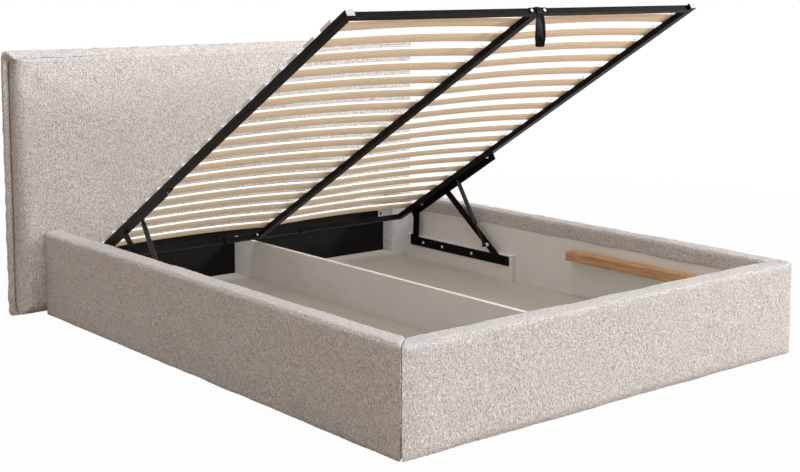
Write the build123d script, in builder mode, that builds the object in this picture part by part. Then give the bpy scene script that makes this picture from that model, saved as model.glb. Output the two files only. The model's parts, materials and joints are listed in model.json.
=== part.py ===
from build123d import *
from math import atan2, cos, degrees, hypot, radians, sin
import os

os.makedirs("parts", exist_ok=True)

# Upholstered storage bed with a lifting slatted frame, shown raised. Lengths in millimetres.
# +X is the right-hand side seen from the foot, +Y points to the headboard, +Z is up.
# The origin is on the floor under the middle of the whole bed.

# Box of the bed
box_width = 1720
box_length = 2170
rail_height = 320
rail_thickness = 72
board_thickness = 18
board_bottom = 8
pad_lift = 6
top_padding = 35
wrap_thickness = 3
wrap_depth = 58
outer_round = 28
inner_round = 25
bottom_round = 12
corner_round = 15
end_wrap_length = 44

# Clearances and cuts
soft_gap = 0.3
running_fit = 0.05
rest_gap = 0.3
overrun = 5

# Headboard
headboard_overhang = 119
headboard_height = 1000
border_side = 24
border_top = 22
border_bottom = 13
border_lift = 12
border_thickness = 18
border_round = 6
pad_depth = 58
pad_round = 45
core_setback = 6
core_thickness = 45
cover_thickness = 3
base_board_top = 247
lining_setback = 42
lining_thickness = 1.5

# Storage floor and divider
floor_top = 45
floor_thickness = 4
cleat_width = 20
cleat_height = 18
divider_thickness = 16
divider_height = 192
edge_band_height = 2

# Wooden rests for the closed frame
batten_thickness = 40
batten_height = 37
batten_top = 222
batten_length = 883
batten_plug_radius = 4.5
batten_plug_height = 0.5
batten_plug_shares = (0.1, 0.37, 0.63, 0.9)

# Lift mechanism, from the side board inwards
spacer_thickness = 18
spacer_height = 103
spacer_front_margin = 65
spacer_rear_margin = 72
plate_thickness = 3
plate_height = 39
plate_corner = 3
plate_front_margin = 48
plate_rear_margin = 36
plate_tab_width = 30
plate_tab_height = 8
arm_gap_outer = 1
arm_thickness = 4
arm_gap_inner = 2
front_arm_width = 30
rear_arm_width = 36
pivot_height = 124
pivot_radius = 5
pivot_head_radius = 7.5
pivot_head_thickness = 2
pivot_head_gap = 0.4
plate_screw_radius = 6
plate_screw_head = 2.5
plate_screw_shares = (0.36, 0.66, 0.86)

# Lifting frame, measured from its head end and from the underside of its tubes
head_gap = 53
foot_gap = 133
raised_angle = 30.82
raised_shift = 113
raised_drop = 13.3
tube_width = 30
tube_height = 20
cross_tube_width = 20
centre_tube_width = 31
tube_wall = 2
foot_bar_setback = 13
plug_depth = 12
plug_cap = 2
arm_pin_drop = 13
rear_arm_reach = 105
front_arm_reach = 335

# Angle bracket that joins the arms to the frame
bracket_start = 80
bracket_length = 603
bracket_thickness = 3
bracket_depth = 24
bracket_rear_bolt = 98
bracket_front_bolt = 28
bolt_head_radius = 6
bolt_head_height = 3

# Gas struts
strut_reach = 445
strut_pin_drop = 10
strut_foot_share = 0.215
strut_inset = 15
strut_tube_radius = 9
strut_tube_start = 16
strut_tube_end = 204
strut_tube_round = 2.5
strut_bore_depth = 118
strut_rod_radius = 4
strut_rod_hidden = 20
strut_neck_radius = 5.5
strut_neck_length = 12
strut_eye_radius = 6.5
strut_eye_width = 12
stud_radius = 4
stud_base_radius = 7
stud_base_thickness = 4
stud_cap_radius = 5.5
stud_cap_thickness = 2

# Sprung slats
slat_count = 18
slat_width = 53
slat_thickness = 8
slat_margin = 110
slat_rise = 9
slat_lift = 1.2
holder_height = 13
holder_side_margin = 2
holder_overhang = 1.5
holder_outer_inset = 4
holder_pocket = 15
holder_centre_pocket = 11
holder_play = 0.4

# Pull strap and its plate
strap_plate_width = 74
strap_plate_thickness = 3
strap_bolt_spacing = 56
strap_bolt_radius = 5.5
strap_bolt_height = 2
strap_roll_radius = 2
strap_width = 34
strap_thickness = 2
strap_length = 120
strap_bulge = 11
strap_gap = 0.3

# Hook clips on the head bar, and the angles and bolts of the centre tube's head end
clip_bar = 5
clip_rise = 21
clip_depth = 10
clip_step = 16
clip_left_share = 0.226
clip_right_share = 0.273
centre_angle_thickness = 3
centre_angle_reach = 22
centre_angle_width = 12
centre_bolt_radius = 5.5
centre_bolt_height = 3

# Brackets, bolts and glides
bracket_plate = 2.5
head_bracket_width = 28
head_bracket_height = 30
head_bracket_level = 198
head_bracket_arm = 34
foot_bracket_leg = 40
foot_bracket_height = 50
foot_bracket_level = 100
divider_bracket_leg = 25
divider_bracket_height = 24
divider_bracket_level = 70
corner_bolt_radius = 5
corner_bolt_head = 3
corner_bolt_share = 0.6
glide_length = 60
glide_width = 16
glide_inset = 160
headboard_glide_depth = 30
headboard_glide_share = 0.7

# Places worked out from the sizes above
CORNER = (Align.MIN, Align.MIN, Align.MIN)
CORNER_2D = (Align.MIN, Align.MIN)
UPRIGHT = (Align.CENTER, Align.CENTER, Align.MIN)
back_depth = core_setback + core_thickness + cover_thickness
total_length = box_length + back_depth
headboard_width = box_width + 2 * headboard_overhang
foot_face = -total_length / 2
board_front = foot_face + rail_thickness
border_front = foot_face + box_length
core_front = border_front + core_setback
core_back = core_front + core_thickness
pad_front = border_front - pad_depth
lining_face = border_front - lining_setback
rail_end = pad_front - soft_gap
board_end = rail_end - end_wrap_length
half_width = box_width / 2
board_inner = half_width - rail_thickness
board_outer = board_inner + board_thickness
board_seat = rail_thickness - board_thickness - soft_gap
board_top = rail_height - top_padding
wrap_bottom = rail_height - wrap_depth
wrap_inner = board_inner - wrap_thickness
pad_half_width = headboard_width / 2 - border_side
pad_bottom = border_lift + border_bottom
pad_top = headboard_height - border_top

plate_face = board_inner - spacer_thickness
plate_inner = plate_face - plate_thickness
arm_outer = plate_inner - arm_gap_outer
arm_inner = arm_outer - arm_thickness
frame_half_width = arm_inner - arm_gap_inner
bracket_inner = frame_half_width - bracket_thickness
strut_centre = bracket_inner - strut_inset
batten_inner = board_inner - batten_thickness

closed_head = lining_face - head_gap
closed_foot = board_front + foot_gap
frame_length = closed_head - closed_foot
closed_level = batten_top + rest_gap
head_corner = (closed_head - raised_shift, closed_level - raised_drop)
tilt = radians(raised_angle)
lift_plane = Plane(origin=(0, *head_corner), x_dir=(1, 0, 0), z_dir=(0, sin(tilt), cos(tilt)))


def on_frame(reach, rise):
    """Side view place of a point of the raised frame, by its distance from the head end."""
    along = -reach * cos(tilt) + rise * sin(tilt)
    up = reach * sin(tilt) + rise * cos(tilt)
    return (head_corner[0] + along, head_corner[1] + up)


def base_pivot(reach):
    """Fixed pivot of the arm that carries the frame there, equally far from both end places."""
    raised = on_frame(reach, -arm_pin_drop)
    closed = (closed_head - reach, closed_level - arm_pin_drop)
    middle = ((raised[0] + closed[0]) / 2, (raised[1] + closed[1]) / 2)
    slope = (closed[1] - raised[1]) / (closed[0] - raised[0])
    return (middle[0] - (pivot_height - middle[1]) * slope, pivot_height)


def part_way(start, end, share):
    """Point between two points of the side view."""
    return (start[0] + (end[0] - start[0]) * share, start[1] + (end[1] - start[1]) * share)


front_top = on_frame(front_arm_reach, -arm_pin_drop)
rear_top = on_frame(rear_arm_reach, -arm_pin_drop)
front_base = base_pivot(front_arm_reach)
rear_base = base_pivot(rear_arm_reach)
strut_top = on_frame(strut_reach, -strut_pin_drop)
strut_foot = part_way(front_base, front_top, strut_foot_share)
strut_span = (strut_foot[0] - strut_top[0], strut_foot[1] - strut_top[1])
strut_length = hypot(*strut_span)
strut_direction = (0, strut_span[0] / strut_length, strut_span[1] / strut_length)
strut_plane = Plane(origin=(strut_centre, *strut_top), x_dir=(1, 0, 0), z_dir=strut_direction)


# Shapes that several pieces share

def board(x_span, y_span, z_span, mode=Mode.ADD):
    """A straight board between two corners, added to the piece in hand."""
    with Locations((x_span[0], y_span[0], z_span[0])):
        Box(x_span[1] - x_span[0], y_span[1] - y_span[0], z_span[1] - z_span[0], align=CORNER, mode=mode)


def peg(centre, radius, x_span, mode=Mode.ADD):
    """A round bar across the bed, centred on a point of the side view."""
    with Locations((x_span[0], *centre)):
        Cylinder(radius, x_span[1] - x_span[0], rotation=(0, 90, 0), align=UPRIGHT, mode=mode)


def reach_span(start, end):
    """Stretch of the lifting frame, as its plane's own Y runs from foot to head."""
    return (-end, -start)


def arm_outline(start, end, width):
    """Flat link with round ends and a hole at each pivot, drawn in the side view."""
    with BuildSketch(Plane.YZ.offset(arm_inner)) as outline:
        with Locations(part_way(start, end, 0.5)):
            turn = degrees(atan2(end[1] - start[1], end[0] - start[0]))
            SlotCenterToCenter(hypot(end[0] - start[0], end[1] - start[1]), width, rotation=turn)
        with Locations(start):
            Circle(pivot_radius + running_fit, mode=Mode.SUBTRACT)
    return outline.sketch


def rail_plane(x_place, y_place, inward, along):
    """Upright plane across a rail, with its own X pointing into the bed."""
    return Plane(origin=(x_place, y_place, 0), x_dir=inward, z_dir=along)


def rail_outline(plane):
    """Section of a padded rail: upright outside, rounded top and lower edge, and the wrap inside."""
    with BuildSketch(plane) as outline:
        with Locations((0, pad_lift)):
            Rectangle(rail_thickness + wrap_thickness, rail_height - pad_lift, align=CORNER_2D)
        upper = outline.vertices().group_by(Axis.Y)[-1].sort_by(Axis.X)
        fillet(upper[0], outer_round)
        fillet(outline.vertices().group_by(Axis.Y)[0].sort_by(Axis.X)[0], bottom_round)
        fillet(outline.vertices().group_by(Axis.Y)[-1].sort_by(Axis.X)[-1], inner_round)
    return outline.sketch


def board_recess(plane):
    """Space in a padded rail for its board, whose lower inside stays bare."""
    with BuildSketch(plane) as recess:
        with Locations((board_seat, 0)):
            Rectangle(rail_thickness + soft_gap - board_seat, board_top + soft_gap, align=CORNER_2D)
            Rectangle(rail_thickness + wrap_thickness + overrun - board_seat, wrap_bottom, align=CORNER_2D)
    return recess.sketch


def box_plan():
    """Outline of the box seen from above, with its four rounded upright edges."""
    with BuildSketch() as plan:
        with Locations((0, (foot_face + rail_end) / 2)):
            RectangleRounded(box_width, rail_end - foot_face, corner_round)
    return plan.sketch


def other_side(piece):
    """The same piece on the other side of the bed."""
    with BuildPart() as twin:
        mirror(piece.part, about=Plane.YZ)
    return twin


def write(piece, name):
    """Label a finished piece and write its file."""
    piece.part.label = name
    export_step(piece.part, "parts/" + name + ".step")


# Side rails

with BuildPart() as side_board_right:
    board((board_inner, board_outer), (board_front, board_end), (board_bottom, board_top))

side_rail_plane = rail_plane(half_width, foot_face, (-1, 0, 0), (0, 1, 0))
right_mitre = Plane(origin=(half_width, foot_face, 0), z_dir=(1, 1, 0))
left_mitre = Plane(origin=(-half_width, foot_face, 0), z_dir=(-1, 1, 0))

with BuildPart() as side_upholstery_right:
    extrude(rail_outline(side_rail_plane), amount=rail_end - foot_face)
    extrude(board_recess(side_rail_plane), amount=board_end + soft_gap - foot_face, mode=Mode.SUBTRACT)
    split(bisect_by=right_mitre.offset(soft_gap), keep=Keep.TOP)
    extrude(box_plan(), amount=rail_height, mode=Mode.INTERSECT)

side_board_left = other_side(side_board_right)
side_upholstery_left = other_side(side_upholstery_right)

# Foot rail

with BuildPart() as foot_board:
    foot_board_span = (board_front - board_thickness, board_front)
    board((-board_outer, board_outer), foot_board_span, (board_bottom, board_top))

foot_rail_plane = rail_plane(-half_width, foot_face, (0, 1, 0), (1, 0, 0))

with BuildPart() as foot_upholstery:
    extrude(rail_outline(foot_rail_plane), amount=box_width)
    extrude(board_recess(foot_rail_plane), amount=box_width, mode=Mode.SUBTRACT)
    split(bisect_by=right_mitre, keep=Keep.BOTTOM)
    split(bisect_by=left_mitre, keep=Keep.BOTTOM)
    extrude(box_plan(), amount=rail_height, mode=Mode.INTERSECT)

# Headboard

with BuildPart() as headboard_core:
    core_half = pad_half_width - soft_gap
    board((-core_half, core_half), (core_front, core_back), (pad_bottom, pad_top - soft_gap))

with BuildPart() as headboard_pad:
    pad_half = pad_half_width - soft_gap
    board((-pad_half, pad_half), (pad_front, core_front), (pad_bottom + soft_gap, pad_top - soft_gap))
    fillet(headboard_pad.faces().sort_by(Axis.Y)[0].edges(), pad_round)
    board(
        (-board_inner, board_inner),
        (pad_front - overrun, core_front + overrun),
        (0, base_board_top + soft_gap),
        mode=Mode.SUBTRACT,
    )

with BuildPart() as headboard_flange:
    border_half = headboard_width / 2
    border_back = border_front + border_thickness
    board((-border_half, border_half), (border_front, border_back), (border_lift, headboard_height))
    fillet(headboard_flange.edges().filter_by(Axis.Y), border_round)
    board(
        (-pad_half_width, pad_half_width),
        (border_front - overrun, border_back + overrun),
        (pad_bottom, pad_top),
        mode=Mode.SUBTRACT,
    )

with BuildPart() as headboard_back_cover:
    cover_half = pad_half_width + cover_thickness
    cover_back = core_back + cover_thickness
    board((-cover_half, cover_half), (border_back, cover_back), (pad_bottom, pad_top + cover_thickness))
    board(
        (-pad_half_width, pad_half_width),
        (border_back - overrun, core_back),
        (0, pad_top),
        mode=Mode.SUBTRACT,
    )

with BuildPart() as headboard_lining:
    lining_half = board_inner - soft_gap
    lining_back = lining_face + lining_thickness
    board((-lining_half, lining_half), (lining_face, lining_back), (pad_bottom + soft_gap, base_board_top))

with BuildPart() as headboard_base_board:
    board((-lining_half, lining_half), (lining_back, core_front), (pad_bottom + soft_gap, base_board_top))

# Storage floor, its cleats and the divider

divider_half = divider_thickness / 2
divider_top = board_bottom + divider_height
band_bottom = divider_top - edge_band_height
divider_run = (board_front, lining_face)
floor_bottom = floor_top - floor_thickness

with BuildPart() as divider_board:
    board((-divider_half, divider_half), divider_run, (board_bottom, band_bottom))

with BuildPart() as divider_edge_band:
    board((-divider_half, divider_half), divider_run, (band_bottom, divider_top))

with BuildPart() as floor_panel_right:
    board((divider_half, board_inner), (board_front, board_end), (floor_bottom, floor_top))
    board((divider_half, wrap_inner - soft_gap), (board_end, lining_face), (floor_bottom, floor_top))

floor_panel_left = other_side(floor_panel_right)

with BuildPart() as floor_cleats:
    cleat_span = (floor_bottom - cleat_height, floor_bottom)
    cross_span = (divider_half + cleat_width, board_inner - cleat_width)
    board((board_inner - cleat_width, board_inner), (board_front, board_end), cleat_span)
    board((divider_half, divider_half + cleat_width), divider_run, cleat_span)
    board(cross_span, (board_front, board_front + cleat_width), cleat_span)
    board(cross_span, (lining_face - cleat_width, lining_face), cleat_span)
    mirror(about=Plane.YZ)

# Wooden battens that the closed frame rests on

with BuildPart() as support_batten_right:
    board(
        (batten_inner, board_inner),
        (board_front, board_front + batten_length),
        (batten_top - batten_height, batten_top),
    )

support_batten_left = other_side(support_batten_right)

with BuildPart() as batten_plugs:
    for share in batten_plug_shares:
        plug_place = (board_front + batten_length * share, batten_top - batten_height / 2)
        peg(plug_place, batten_plug_radius, (batten_inner - batten_plug_height, batten_inner))
    mirror(about=Plane.YZ)

# Spacer boards and base plates of the lift mechanism

plate_start = front_base[0] - plate_front_margin
plate_end = rear_base[0] + plate_rear_margin

with BuildPart() as spacer_board_right:
    board(
        (plate_face, board_inner),
        (front_base[0] - spacer_front_margin, rear_base[0] + spacer_rear_margin),
        (floor_top, floor_top + spacer_height),
    )

with BuildPart() as lift_base_right:
    with BuildSketch(Plane.YZ.offset(plate_inner)) as base_outline:
        with Locations((plate_start, pivot_height - plate_height / 2)):
            Rectangle(plate_end - plate_start, plate_height, align=CORNER_2D)
        with Locations((plate_end - plate_tab_width, pivot_height)):
            Rectangle(plate_tab_width, plate_height / 2 + plate_tab_height, align=CORNER_2D)
        fillet(base_outline.vertices(), plate_corner)
    extrude(amount=plate_thickness)

with BuildPart() as lift_base_screws:
    for share in plate_screw_shares:
        screw_place = (plate_start + (plate_end - plate_start) * share, pivot_height)
        peg(screw_place, plate_screw_radius, (plate_inner - plate_screw_head, plate_inner))
    mirror(about=Plane.YZ)

spacer_board_left = other_side(spacer_board_right)
lift_base_left = other_side(lift_base_right)

# Pivots fixed to the base plates, each with a head inside its arm

with BuildPart() as arm_pivots:
    for place in (front_base, rear_base):
        head_start = arm_inner - pivot_head_gap - pivot_head_thickness
        peg(place, pivot_radius, (head_start, plate_inner))
        peg(place, pivot_head_radius, (head_start, head_start + pivot_head_thickness))
    mirror(about=Plane.YZ)

# Arms. The rear arm's upper rivet stops just short of the bracket, because that joint is left open.

with BuildPart() as front_arm_right:
    extrude(arm_outline(front_base, front_top, front_arm_width), amount=arm_thickness)
    through_arm = (arm_inner - overrun, arm_outer + overrun)
    peg(front_top, pivot_radius + running_fit, through_arm, mode=Mode.SUBTRACT)

with BuildPart() as rear_arm_right:
    extrude(arm_outline(rear_base, rear_top, rear_arm_width), amount=arm_thickness)
    peg(rear_top, pivot_radius, (frame_half_width + rest_gap, arm_inner))
    peg(rear_top, pivot_head_radius, (arm_outer, arm_outer + pivot_head_thickness))

front_arm_left = other_side(front_arm_right)
rear_arm_left = other_side(rear_arm_right)

with BuildPart() as lower_ball_studs:
    stud_base_end = arm_inner - stud_base_thickness
    peg(strut_foot, stud_base_radius, (stud_base_end, arm_inner))
    peg(strut_foot, stud_radius, (strut_centre + strut_eye_width / 2 + rest_gap, stud_base_end))
    mirror(about=Plane.YZ)

# Pins on the angle brackets that carry the front arms' upper ends

with BuildPart() as arm_top_pivots:
    pin_head = arm_outer + pivot_head_gap
    peg(front_top, pivot_radius, (frame_half_width, pin_head))
    peg(front_top, pivot_head_radius, (pin_head, pin_head + pivot_head_thickness))
    mirror(about=Plane.YZ)

# Welded tubes of the lifting frame


def hollow_tube(x_span, reach, bore_axis):
    """Rectangular tube of the frame, bored along one of its plane's own axes."""
    y_span = reach_span(*reach)
    board(x_span, y_span, (0, tube_height))
    inner = [[x_span[0] + tube_wall, x_span[1] - tube_wall], [y_span[0] + tube_wall, y_span[1] - tube_wall]]
    inner[bore_axis] = [inner[bore_axis][0] - tube_wall, inner[bore_axis][1] + tube_wall]
    board(*inner, (tube_wall, tube_height - tube_wall), mode=Mode.SUBTRACT)


tube_end = frame_length - plug_cap
tube_inner = frame_half_width - tube_width
foot_bar_face = frame_length - foot_bar_setback
foot_bar_back = foot_bar_face - cross_tube_width
head_bar_face = plug_cap + cross_tube_width
centre_half = centre_tube_width / 2

with BuildPart(lift_plane) as frame_bar_right:
    hollow_tube((tube_inner, frame_half_width), (plug_cap, tube_end), 1)

frame_bar_left = other_side(frame_bar_right)

with BuildPart(lift_plane) as frame_bar_centre:
    hollow_tube((-centre_half, centre_half), (head_bar_face, foot_bar_back), 1)

with BuildPart(lift_plane) as frame_bar_head:
    hollow_tube((-tube_inner, tube_inner), (plug_cap, head_bar_face), 0)

with BuildPart(lift_plane) as frame_bar_foot:
    hollow_tube((-tube_inner, tube_inner), (foot_bar_back, foot_bar_face), 0)

with BuildPart(lift_plane) as frame_end_caps:
    plug_x = (tube_inner + tube_wall, frame_half_width - tube_wall)
    plug_z = (tube_wall, tube_height - tube_wall)
    board((tube_inner, frame_half_width), reach_span(tube_end, frame_length), (0, tube_height))
    board(plug_x, reach_span(tube_end - plug_depth, tube_end), plug_z)
    board((tube_inner, frame_half_width), reach_span(0, plug_cap), (0, tube_height))
    board(plug_x, reach_span(plug_cap, plug_cap + plug_depth), plug_z)
    mirror(about=Plane.YZ)

# Angle brackets under the side tubes, their bolts and the upper ball studs

bracket_end = bracket_start + bracket_length
flange_span = (-bracket_thickness, 0)

with BuildPart(lift_plane) as lift_bracket_right:
    board((tube_inner, frame_half_width), reach_span(bracket_start, bracket_end), flange_span)
    board((bracket_inner, frame_half_width), reach_span(bracket_start, bracket_end), (-bracket_depth, 0))

lift_bracket_left = other_side(lift_bracket_right)

with BuildPart(lift_plane) as lift_bracket_bolts:
    bolt_level = -bracket_thickness - bolt_head_height
    bolt_line = frame_half_width - tube_width / 2
    for reach in (bracket_start + bracket_rear_bolt, bracket_end - bracket_front_bolt):
        with Locations((bolt_line, -reach, bolt_level)):
            Cylinder(bolt_head_radius, bolt_head_height, align=UPRIGHT)
    mirror(about=Plane.YZ)

with BuildPart() as upper_ball_studs:
    eye_end = strut_centre - strut_eye_width / 2 - rest_gap
    peg(strut_top, stud_base_radius, (bracket_inner - stud_base_thickness, bracket_inner))
    peg(strut_top, stud_radius, (eye_end, bracket_inner - stud_base_thickness))
    peg(strut_top, stud_cap_radius, (eye_end - stud_cap_thickness, eye_end))
    mirror(about=Plane.YZ)

# Gas struts. The rod's eye stops beside the lower stud, because that joint is left open.


def strut_eye(place, bore):
    """Flat eye at a strut's end, with or without a hole for its stud."""
    eye = (strut_centre - strut_eye_width / 2, strut_centre + strut_eye_width / 2)
    peg(place, strut_eye_radius, eye)
    if bore:
        peg(place, stud_radius + running_fit, (eye[0] - overrun, eye[1] + overrun), mode=Mode.SUBTRACT)


with BuildPart() as strut_cylinder_right:
    with BuildSketch(strut_plane):
        Circle(strut_neck_radius)
    extrude(amount=strut_tube_start)
    with BuildSketch(strut_plane.offset(strut_tube_start)):
        Circle(strut_tube_radius)
    extrude(amount=strut_tube_end - strut_tube_start)
    fillet(strut_cylinder_right.edges().filter_by(GeomType.CIRCLE).sort_by(Axis.Z)[0], strut_tube_round)
    with BuildSketch(strut_plane.offset(strut_tube_end)):
        Circle(strut_rod_radius + running_fit)
    extrude(amount=-strut_bore_depth, mode=Mode.SUBTRACT)
    strut_eye(strut_top, True)

with BuildPart() as strut_rod_right:
    with BuildSketch(strut_plane.offset(strut_tube_end - strut_rod_hidden)):
        Circle(strut_rod_radius)
    extrude(amount=strut_length - strut_tube_end + strut_rod_hidden)
    with BuildSketch(strut_plane.offset(strut_length)):
        Circle(strut_neck_radius)
    extrude(amount=-strut_neck_length)
    strut_eye(strut_foot, False)

strut_cylinder_left = other_side(strut_cylinder_right)
strut_rod_left = other_side(strut_rod_right)

# Sprung slats and their holders

slat_pitch = (frame_length - 2 * slat_margin) / (slat_count - 1)
slat_reaches = [slat_margin + slat_pitch * number for number in range(slat_count)]
slat_inner = centre_half - holder_centre_pocket + holder_play
slat_outer = tube_inner - holder_overhang + holder_pocket - holder_play
slat_base = tube_height + slat_lift
pocket_height = slat_thickness + 4 * slat_rise * holder_pocket / (slat_outer - slat_inner) + holder_play

with BuildPart(lift_plane) as slats_right:
    slat_middle = (slat_inner + slat_outer) / 2
    for reach in slat_reaches:
        section = Plane(lift_plane.from_local_coords((0, -reach - slat_width / 2, 0)),
                        x_dir=(1, 0, 0), z_dir=-lift_plane.y_dir)
        with BuildSketch(section.offset(-slat_width)):
            with BuildLine():
                lower = ThreePointArc(
                    (slat_inner, slat_base),
                    (slat_middle, slat_base + slat_rise),
                    (slat_outer, slat_base),
                )
                upper = ThreePointArc(
                    (slat_inner, slat_base + slat_thickness),
                    (slat_middle, slat_base + slat_rise + slat_thickness),
                    (slat_outer, slat_base + slat_thickness),
                )
                Line(lower @ 0, upper @ 0)
                Line(lower @ 1, upper @ 1)
            make_face()
        extrude(amount=slat_width)

slats_left = other_side(slats_right)


def slat_holder(reach, x_span, pockets):
    """Plastic holder on a tube, open towards each slat that it grips."""
    half_length = slat_width / 2 + holder_side_margin
    holder_top = tube_height + holder_height
    board(x_span, reach_span(reach - half_length, reach + half_length), (tube_height, holder_top))
    half_pocket = slat_width / 2 + holder_play
    for pocket in pockets:
        board(
            pocket,
            reach_span(reach - half_pocket, reach + half_pocket),
            (slat_base - holder_play, slat_base + pocket_height),
            mode=Mode.SUBTRACT,
        )


with BuildPart(lift_plane) as slat_holders_right:
    holder_start = tube_inner - holder_overhang
    for reach in slat_reaches:
        holder_span = (holder_start, frame_half_width - holder_outer_inset)
        slat_holder(reach, holder_span, [(holder_start - overrun, holder_start + holder_pocket)])

slat_holders_left = other_side(slat_holders_right)

with BuildPart(lift_plane) as slat_holders_centre:
    pocket_end = centre_half - holder_centre_pocket
    for reach in slat_reaches:
        pockets = [(pocket_end, centre_half + overrun), (-centre_half - overrun, -pocket_end)]
        slat_holder(reach, (-centre_half, centre_half), pockets)

# Pull strap and its plate on the foot bar

plate_front = foot_bar_face + strap_plate_thickness

with BuildPart(lift_plane) as strap_plate:
    plate_half = strap_plate_width / 2
    board((-plate_half, plate_half), reach_span(foot_bar_face, plate_front), (0, tube_height))

with BuildPart(lift_plane) as strap_bolts:
    with Locations((0, -plate_front, tube_height / 2)):
        with GridLocations(strap_bolt_spacing, 0, 2, 1):
            Cylinder(strap_bolt_radius, strap_bolt_height, rotation=(90, 0, 0), align=UPRIGHT)

strap_pin = on_frame(plate_front, -strap_roll_radius - strap_gap)

strap_side = Plane(origin=(-strap_width / 2, *strap_pin), x_dir=(0, 1, 0), z_dir=(1, 0, 0))

with BuildPart() as pull_strap:
    peg(strap_pin, strap_roll_radius, (-strap_width / 2, strap_width / 2))
    with BuildSketch(strap_side):
        turn_level = strap_bulge - strap_length
        with BuildLine():
            loop_back = Spline(
                (-strap_roll_radius / 2, 0),
                (-strap_bulge / 2, -strap_length / 2),
                (-strap_bulge, turn_level),
                tangents=((0, -1), (0, -1)),
            )
            loop_turn = ThreePointArc(loop_back @ 1, (0, -strap_length), (strap_bulge, turn_level))
            loop_front = Spline(
                loop_turn @ 1,
                (strap_bulge / 2, -strap_length / 2),
                (strap_roll_radius / 2, 0),
                tangents=((0, 1), (0, 1)),
            )
            Line(loop_front @ 1, loop_back @ 0)
        make_face()
    extrude(amount=strap_width)
    with BuildSketch(strap_side.offset(-overrun)):
        hole_radius = strap_bulge - strap_thickness
        hole_low = (0, turn_level - hole_radius)
        with BuildLine():
            hole_turn = ThreePointArc((-hole_radius, turn_level), hole_low, (hole_radius, turn_level))
            hole_front = Line(hole_turn @ 1, (0, -strap_length / 2))
            Line(hole_front @ 1, hole_turn @ 0)
        make_face()
    extrude(amount=strap_width + 2 * overrun, mode=Mode.SUBTRACT)

# Bent hook clips on the head bar, and the angles that join the centre tube to it

clip_face = head_bar_face + clip_bar
clip_back = head_bar_face - clip_depth
clip_top = tube_height + clip_bar

with BuildPart(lift_plane) as head_bar_clips:
    for share in (-clip_left_share, clip_right_share):
        clip_end = tube_inner * share
        clip_start = clip_end - clip_bar
        leg_start = clip_start - clip_step
        back_span = reach_span(clip_back, clip_back + clip_bar)
        board((clip_start, clip_end), reach_span(clip_back, clip_face), (-clip_bar, 0))
        board((clip_start, clip_end), reach_span(head_bar_face, clip_face), (-clip_bar, clip_top))
        board((clip_start, clip_end), reach_span(clip_back, clip_face), (tube_height, clip_top))
        board((leg_start, clip_end), back_span, (tube_height, clip_top))
        board((leg_start, leg_start + clip_bar), back_span, (tube_height, clip_top + clip_rise))
    angle_side = centre_half + centre_angle_thickness
    angle_end = angle_side + centre_angle_width
    angle_front = head_bar_face + centre_angle_thickness
    for side in (-1, 1):
        plate_x = sorted((side * centre_half, side * angle_side))
        leg_x = sorted((side * centre_half, side * angle_end))
        board(plate_x, reach_span(head_bar_face, head_bar_face + centre_angle_reach), (0, tube_height))
        board(leg_x, reach_span(head_bar_face, angle_front), (0, tube_height))

with BuildPart(lift_plane) as centre_bolts:
    bolt_reach = (angle_front + head_bar_face + centre_angle_reach) / 2
    for bolt_start in (-angle_side - centre_bolt_height, angle_side):
        with Locations((bolt_start, -bolt_reach, tube_height / 2)):
            Cylinder(centre_bolt_radius, centre_bolt_height, rotation=(0, 90, 0), align=UPRIGHT)

# Corner brackets at the head, angle brackets at the foot, and their bolts

head_bracket_top = head_bracket_level + head_bracket_height
head_bracket_span = (head_bracket_level, head_bracket_top)
foot_bracket_span = (foot_bracket_level, foot_bracket_level + foot_bracket_height)

with BuildPart() as corner_brackets:
    board(
        (wrap_inner - soft_gap - head_bracket_width, wrap_inner - soft_gap),
        (lining_face - bracket_plate, lining_face),
        head_bracket_span,
    )
    board(
        (wrap_inner - soft_gap - bracket_plate, wrap_inner - soft_gap),
        (lining_face - head_bracket_arm, lining_face),
        head_bracket_span,
    )
    foot_leg_end = board_front + foot_bracket_leg
    foot_plate_back = board_front + bracket_plate
    board((board_inner - bracket_plate, board_inner), (board_front, foot_leg_end), foot_bracket_span)
    board((board_inner - foot_bracket_leg, board_inner), (board_front, foot_plate_back), foot_bracket_span)
    mirror(about=Plane.YZ)

with BuildPart() as corner_bolts:
    head_bolt_level = head_bracket_level + head_bracket_height / 2
    foot_bolt_level = foot_bracket_level + foot_bracket_height / 2
    head_bolt_x = wrap_inner - soft_gap - bracket_plate - (head_bracket_width - bracket_plate) / 2
    foot_bolt_reach = foot_bracket_leg * corner_bolt_share
    for place in (
        (head_bolt_x, lining_face - bracket_plate, head_bolt_level),
        (board_inner - foot_bolt_reach, foot_plate_back + corner_bolt_head, foot_bolt_level),
    ):
        with Locations(place):
            Cylinder(corner_bolt_radius, corner_bolt_head, rotation=(90, 0, 0), align=UPRIGHT)
    bolt_seat = board_inner - bracket_plate
    foot_bolt_place = (board_front + foot_bolt_reach, foot_bolt_level)
    peg(foot_bolt_place, corner_bolt_radius, (bolt_seat - corner_bolt_head, bolt_seat))
    mirror(about=Plane.YZ)

with BuildPart() as divider_brackets:
    divider_bracket_span = (divider_bracket_level, divider_bracket_level + divider_bracket_height)
    leg_end = divider_half + divider_bracket_leg
    for wall, inward in ((board_front, 1), (lining_face, -1)):
        reach_in = sorted((wall, wall + inward * divider_bracket_leg))
        plate_in = sorted((wall, wall + inward * bracket_plate))
        board((divider_half, divider_half + bracket_plate), reach_in, divider_bracket_span)
        board((divider_half, leg_end), plate_in, divider_bracket_span)

# Hard glides under the boards and the headboard

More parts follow.
